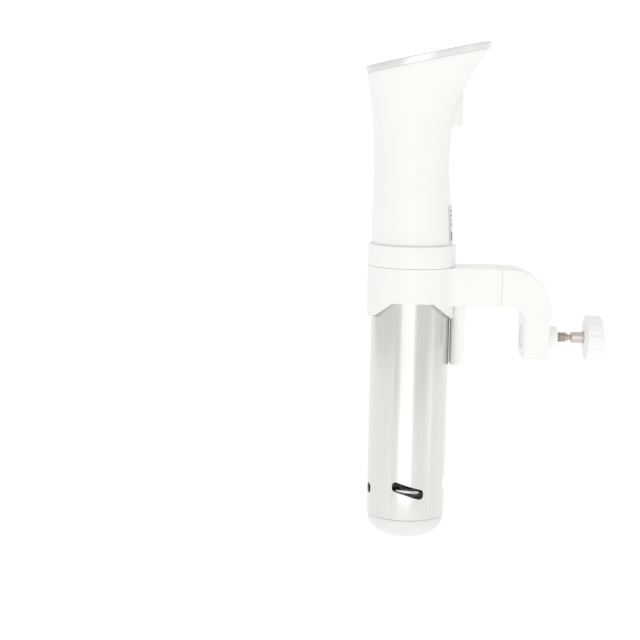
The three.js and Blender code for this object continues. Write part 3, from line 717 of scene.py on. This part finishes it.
def makeJaw():
    j = jaw
    top = arm["top"]
    outline = [(j["start"], 0), (j["start"], top)]
    outline += [(j["outer"] - j["bend"] + j["bend"] * math.sin(math.pi / 2 * i / 28),
                 top - j["bend"] + j["bend"] * math.cos(math.pi / 2 * i / 28)) for i in range(29)]
    outline += [(j["outerFoot"], j["bottom"]), (j["face"], j["bottom"])]
    outline += [(j["face"] - j["fillet"] + j["fillet"] * math.cos(math.pi / 2 * i / 14),
                 -j["fillet"] + j["fillet"] * math.sin(math.pi / 2 * i / 14)) for i in range(15)]
    seamX = axisX + j["start"] * mm
    body = slab(outline, -arm["half"], arm["half"])
    softenEdges(body, j["edge"], 4, 40, lambda e: max(v.co.x for v in e.verts) > seamX + 1e-4)
    softenEdges(body, j["seamEdge"], 2, 40, lambda e: max(v.co.x for v in e.verts) < seamX + 1e-4)
    profile = roundCorners([(0, 96, 0), (j["bossRadius"], 96, 0), (j["bossRadius"], j["bossEnd"], 1.0),
                            (0, j["bossEnd"], 0)])
    boss = lathe(profile, "X", 96, False, (0, 0, screwZ / mm))
    body = carve(body, boss, "UNION")
    bore = lathe([(0, 78), (j["pocket"], 78), (j["pocket"], j["pocketEnd"]), (j["bore"], j["pocketEnd"]),
                  (j["bore"], 120), (0, 120)], "X", 64, False, (0, 0, screwZ / mm))
    body = carve(body, bore)
    piece("clampJaw", body, "clamp", paint["whitePlastic"], ["clamp_jaw"], 32, True)
    n = insert
    profile = roundCorners([(n["inner"], n["start"], 0.3), (n["outer"], n["start"], 0.3),
                            (n["outer"], n["end"], 0.3), (n["inner"], n["end"], 0.5)])
    piece("threadedInsert", lathe(profile, "X", 64, True, (0, 0, screwZ / mm)), "clamp",
          paint["bearingBronze"], ["threaded_insert"])


screw = {"radius": 4.1, "pitch": 1.25, "depth": 0.62, "threadStart": 89.5, "threadEnd": 118.4,
         "neck": 2.3, "neckX": 120.2, "shank": 4.25, "shankStart": 122.2, "end": 143, "sides": 48}


def ringAbout(x, sides, radiusOf):  # points round the screw's axis, radiusOf(i) from it
    return [at(x, -radiusOf(i) * math.cos(fullTurn * i / sides),
               screwZ / mm - radiusOf(i) * math.sin(fullTurn * i / sides)) for i in range(sides)]


def makeScrew():
    s = screw
    sides = s["sides"]

    def ring(x, radiusOf):
        return ringAbout(x, sides, radiusOf)

    def thread(x, fade):
        def radiusOf(i):
            phase = (x / s["pitch"] + i / sides) % 1
            ridge = 1 - min(1, max(0, abs(phase - 0.5) * 2.6 - 0.15))
            return s["radius"] - s["depth"] * (1 - ridge * fade)
        return radiusOf

    rings = [ring(85.8, lambda i: 2.0), ring(86.1, lambda i: 2.4), ring(88.1, lambda i: 2.4),
             ring(89, lambda i: 3.3)]
    steps = round((s["threadEnd"] - s["threadStart"]) / s["pitch"] * 8)
    for k in range(steps + 1):
        x = s["threadStart"] + (s["threadEnd"] - s["threadStart"]) * k / steps
        rings.append(ring(x, thread(x, min(1, k / 8, (steps - k) / 6 + 0.01))))
    for x, r in ((119.3, 2.7), (s["neckX"] - 0.4, s["neck"]), (s["neckX"] + 0.4, s["neck"]),
                 (121.3, 3.2), (s["shankStart"] - 0.2, 4.05), (s["shankStart"] + 0.2, s["shank"]),
                 (s["end"] - 0.3, s["shank"]), (s["end"], s["shank"] - 0.3)):
        rings.append(ring(x, lambda i, r=r: r))
    piece("clampScrew", skin(rings), "screw", paint["screwSteel"], ["clamp_screw"], 50)


knob = {"hubStart": 131.2, "start": 132.3, "end": 147, "radius": 17, "taper": 0.7, "hub": 8, "hole": 4.55,
        "grips": 10, "grooveDegrees": 20.5, "grooveRadius": 1.8, "grooveDepth": 0.8, "sides": 300}


def makeKnob():
    k = knob
    step = fullTurn / k["grips"]
    away = k["radius"] - k["grooveDepth"] + k["grooveRadius"]

    def edgeAt(i):  # distance from the axis to the grooved rim
        fromGroove = fullTurn * i / k["sides"] - math.radians(k["grooveDegrees"] + 180)
        off = (fromGroove + step / 2) % step - step / 2
        reach = away * math.sin(off)
        if abs(reach) >= k["grooveRadius"]:
            return k["radius"]
        valley = away * math.cos(off) - math.sqrt(k["grooveRadius"] ** 2 - reach**2)
        soft = 0.12  # rounds the lips of each groove
        return -soft * math.log(math.exp(-valley / soft) + math.exp(-k["radius"] / soft))

    def ring(x, radiusOf):
        return ringAbout(x, k["sides"], radiusOf)

    rings = [ring(143.3, lambda i: k["hole"])]
    for x, r in ((k["hubStart"] + 0.4, k["hole"]), (k["hubStart"], k["hole"] + 0.4),
                 (k["hubStart"], k["hub"] - 0.5), (k["hubStart"] + 0.1, k["hub"] - 0.2),
                 (k["hubStart"] + 0.4, k["hub"]), (k["start"] - 0.3, k["hub"]),
                 (k["start"], k["hub"] + 0.3)):
        rings.append(ring(x, lambda i, r=r: r))
    for x, inset in ((k["start"], 1.0), (k["start"] + 0.1, 0.5), (k["start"] + 0.5, 0.2),
                     (k["start"] + 1.1, 0),
                     (k["end"] - 4.4, k["taper"]), (k["end"] - 3.7, 0.8),
                     (k["end"] - 3.2, 1.15),
                     (k["end"] - 2.8, 1.8), (k["end"] - 2.5, 2.7)):
        rings.append(ring(x, lambda i, inset=inset: edgeAt(i) - inset))
    face = k["radius"] - 2.7
    for share in (0.85, 0.7, 0.55, 0.42, 0.3, 0.18, 0.06):
        x = k["end"] - 2.5 * max(0, share - 0.12) ** 1.5 / 0.88**1.5
        rings.append(ring(x, lambda i, share=share: face * share - (k["radius"] - edgeAt(i)) * share**6))
    piece("knob", skin(rings), "screw", paint["whitePlastic"], ["knob"], 40)
    low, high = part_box("pressure_pad")
    front, back = low.x / mm - axisX / mm, high.x / mm - axisX / mm
    profile = roundCorners([(0, front, 0), (8.5, front, 0.7), (8.5, back, 0.4), (2.8, back, 0.2),
                            (2.8, front + 1.3, 0.2), (0, front + 1.3, 0)])
    piece("pressurePad", lathe(profile, "X", 72, False, (0, 0, screwZ / mm)), "pad",
          paint["capPlastic"], ["pressure_pad"])


coil = {"radius": 22, "rod": 3.3, "top": -40, "bottom": -141, "turns": 5, "riser": 18, "perTurn": 24}


def makeCoil():
    c = coil
    points = [(c["riser"], 0, 44.8), (c["riser"], 0, 30), (c["riser"], 0, 5), (c["riser"] + 0.5, 0, -18),
              (c["radius"] - 1.5, -1.5, c["top"] + 9), (c["radius"] - 0.3, -0.5, c["top"] + 3)]
    steps = c["turns"] * c["perTurn"]
    for i in range(1, steps - 2):
        turn = fullTurn * i / c["perTurn"]
        drop = min(1, i / (steps - 18))
        points.append((c["radius"] * math.cos(turn), c["radius"] * math.sin(turn),
                       c["top"] + (c["bottom"] - c["top"]) * drop))
    points += [(18.5, -3.5, c["bottom"] + 0.6), (14, 2, c["bottom"] + 3), (10.5, 7, c["bottom"] + 9),
               (9.2, 8.8, c["bottom"] + 18), (9, 9, -110), (9, 9, -60), (9, 9, 0), (9, 9, 30), (9, 9, 44.8)]
    curve = bpy.data.curves.new("heaterPath", "CURVE")
    curve.dimensions = "3D"
    curve.bevel_depth = c["rod"] * mm
    curve.bevel_resolution = 4
    curve.use_fill_caps = True
    curve.resolution_u = 3
    spline = curve.splines.new("NURBS")
    spline.points.add(len(points) - 1)
    for point, place in zip(spline.points, points):
        point.co = (*at(*place), 1)
    spline.use_endpoint_u = True
    spline.order_u = 4
    holder = bpy.data.objects.new("heaterPath", curve)
    bpy.context.scene.collection.objects.link(holder)
    bpy.context.view_layer.update()
    bm = bmesh.new()
    evaluated = holder.evaluated_get(bpy.context.evaluated_depsgraph_get())
    bm.from_mesh(bpy.data.meshes.new_from_object(evaluated))
    bpy.data.objects.remove(holder)
    piece("heaterCoil", cleanUp(bm), "circulator", paint["brightSteel"],
          ["heater_coil"], 50)


def makeRods():
    for name, node, place, radius, low in (
            ("temperatureProbe", "temperature_probe", (0, -14, 0), 2.2, -112),
            ("electrodeLow", "level_electrode_low", (-15.5, 4, 0), 1.5, -96),
            ("electrodeHigh", "level_electrode_high", (-15.5, -4, 0), 1.5, -52)):
        tip = [(radius * math.sin(math.pi / 2 * i / 5), low + radius * (1 - math.cos(math.pi / 2 * i / 5)))
               for i in range(6)]
        rod = lathe(tip + [(radius, 44.5), (radius - 0.3, 44.8), (0, 44.8)], steps=32, closed=False,
                    centre=place)
        piece(name, rod, "circulator", paint["brightSteel"], [node])
    shaft = lathe([(0, -160.6), (2.2, -160.6), (2.5, -160.3), (2.5, 96.7), (2.2, 97), (0, 97)], steps=40,
                  closed=False)
    piece("driveShaft", shaft, "rotor", paint["brightSteel"], ["drive_shaft"])


impeller = {"radius": 20, "hub": 6, "top": -148, "bottom": -157, "blades": 6, "sweep": 42, "thick": 1.6}


def makeImpeller():
    m = impeller
    profile = roundCorners([(2.8, m["bottom"], 0.3), (m["hub"], m["bottom"], 0.8),
                            (m["hub"], m["top"] - 1.6, 0.8),
                            (m["radius"], m["top"] - 1.6, 0.4), (m["radius"], m["top"], 0.4),
                            (2.8, m["top"], 0.3)])
    parts = [lathe(profile, steps=96)]
    for k in range(m["blades"]):
        outer, inner = [], []
        for i in range(11):
            r = 4.5 + (m["radius"] - 5) * i / 10
            turn = fullTurn * k / m["blades"] + math.radians(m["sweep"]) * i / 10
            side = Vector((-math.sin(turn), math.cos(turn))) * (m["thick"] / 2 * (1 - 0.4 * i / 10))
            middle = Vector((r * math.cos(turn), r * math.sin(turn)))
            outer.append(tuple(middle + side))
            inner.append(tuple(middle - side))
        blade = slab(outer + inner[::-1], m["bottom"] + 0.5, m["top"] - 0.8, "XY")
        parts.append(softenEdges(blade, 0.25, 2, 60))
    piece("impeller", joined(*parts), "rotor", paint["capPlastic"], ["impeller"])
    nut = lathe(roundCorners([(2.8, -157.3, 0.2), (4.7, -157.3, 0.3), (4.7, -161, 0.3), (3.2, -162.6, 0.6),
                              (0, -162.6, 0), (0, -160.9, 0), (2.8, -160.9, 0)], 3), steps=6, closed=False)
    piece("impellerNut", nut, "rotor", paint["brightSteel"], ["impeller_nut"], 20)


makeHousing()
makeBezel()
makePanel()
makeDigits()
makeLabel()
makeInlet()
print("head built")
makeCollar()
makeSkirt()
makeCap()
makeSeals()
print("skirt built")
makeArm()
makeJaw()
makeScrew()
makeKnob()
print("clamp built")
makeCoil()
makeRods()
makeImpeller()
print("wet end built")

stage = {"floor": -0.8, "half": 6.0, "back": 5.0, "height": 6.0, "tone": 0.92, "rough": 0.9, "glow": 0.25}


def makeStage():
    bm = bmesh.new()
    profile = roundCorners([(-stage["half"], stage["floor"], 0),
                            (stage["back"], stage["floor"], 1.5),
                            (stage["back"], stage["height"], 0)], 12)
    verts = [bm.verts.new((-stage["half"], y, z)) for y, z in profile[:-1]]
    verts.append(bm.verts.new((-stage["half"], stage["back"], stage["height"])))
    edges = [bm.edges.new(pair) for pair in zip(verts, verts[1:])]
    made = bmesh.ops.extrude_edge_only(bm, edges=edges)["geom"]
    bmesh.ops.translate(bm, vec=(2 * stage["half"], 0, 0),
                        verts=[g for g in made if isinstance(g, bmesh.types.BMVert)])
    for face in bm.faces:
        face.smooth = True
    obj = bpy.data.objects.new("sweep", meshOf(bm, "sweep"))
    bpy.context.scene.collection.objects.link(obj)
    material = bpy.data.materials.new("paleStage")
    material.use_nodes = True
    shader = material.node_tree.nodes["Principled BSDF"]
    shader.inputs["Base Color"].default_value = (stage["tone"], stage["tone"], stage["tone"], 1)
    shader.inputs["Roughness"].default_value = stage["rough"]
    shader.inputs["Emission Color"].default_value = (1, 1, 1, 1)
    shader.inputs["Emission Strength"].default_value = stage["glow"]
    obj.data.materials.append(material)


# degrees round the tube from the front towards the clamp, metres away, and what each adds to the sky
lights = {
    "sky": 0.86, "skyTint": (1.0, 0.998, 0.99),
    "front": {"first": -27, "last": 11, "away": 1.7, "low": -0.75, "high": 1.2, "glow": 0.52},
    "strip": {"first": 4, "last": 11, "away": 1.65, "low": -0.75, "high": 1.2, "glow": 0.28},
    "side": {"first": 64, "last": 69, "away": 1.7, "low": -0.75, "high": 1.2, "glow": 0.4},
}


def softbox(name, first, last, away, low, high, glow):
    middle = math.radians((first + last) / 2)
    width = 2 * away * math.tan(math.radians((last - first) / 2))
    data = bpy.data.lights.new(name + "Softbox", "AREA")
    data.shape = "RECTANGLE"
    data.size, data.size_y = width, high - low
    data.energy = glow * math.pi * width * (high - low)
    obj = bpy.data.objects.new(name + "Softbox", data)
    obj.location = (axisX + away * math.sin(middle), -away * math.cos(middle), (low + high) / 2)
    obj.rotation_euler = (math.pi / 2, 0, middle)
    bpy.context.scene.collection.objects.link(obj)


def makeLights():
    world = bpy.data.worlds.new("studio")
    bpy.context.scene.world = world
    world.use_nodes = True
    tree = world.node_tree
    sky = tree.nodes["Background"]
    sky.inputs["Color"].default_value = (*lights["skyTint"], 1)
    path = tree.nodes.new("ShaderNodeLightPath")
    level = tree.nodes.new("ShaderNodeMapRange")  # plain white to the camera, a little less as light
    level.inputs["To Min"].default_value = lights["sky"]
    level.inputs["To Max"].default_value = 1.0
    tree.links.new(path.outputs["Is Camera Ray"], level.inputs["Value"])
    tree.links.new(level.outputs["Result"], sky.inputs["Strength"])
    for name in ("front", "strip", "side"):
        softbox(name, **lights[name])


view = {"place": (-0.1183, -1.1338, 0.1450), "pitch": 8.01, "yaw": -0.157, "roll": 1.066, "lens": 85.275}


def makeCamera():
    data = bpy.data.cameras.new("camera")
    data.lens = view["lens"]
    data.sensor_width = 36
    obj = bpy.data.objects.new("camera", data)
    turn = (Matrix.Rotation(-math.radians(view["yaw"]), 4, "Z")
            @ Matrix.Rotation(math.radians(90 - view["pitch"]), 4, "X")
            @ Matrix.Rotation(math.radians(view["roll"]), 4, "Z"))
    obj.matrix_world = Matrix.Translation(view["place"]) @ turn
    bpy.context.scene.collection.objects.link(obj)
    bpy.context.scene.camera = obj


makeStage()
makeLights()
makeCamera()
bpy.context.scene.view_settings.view_transform = "Standard"
print("stage ready")
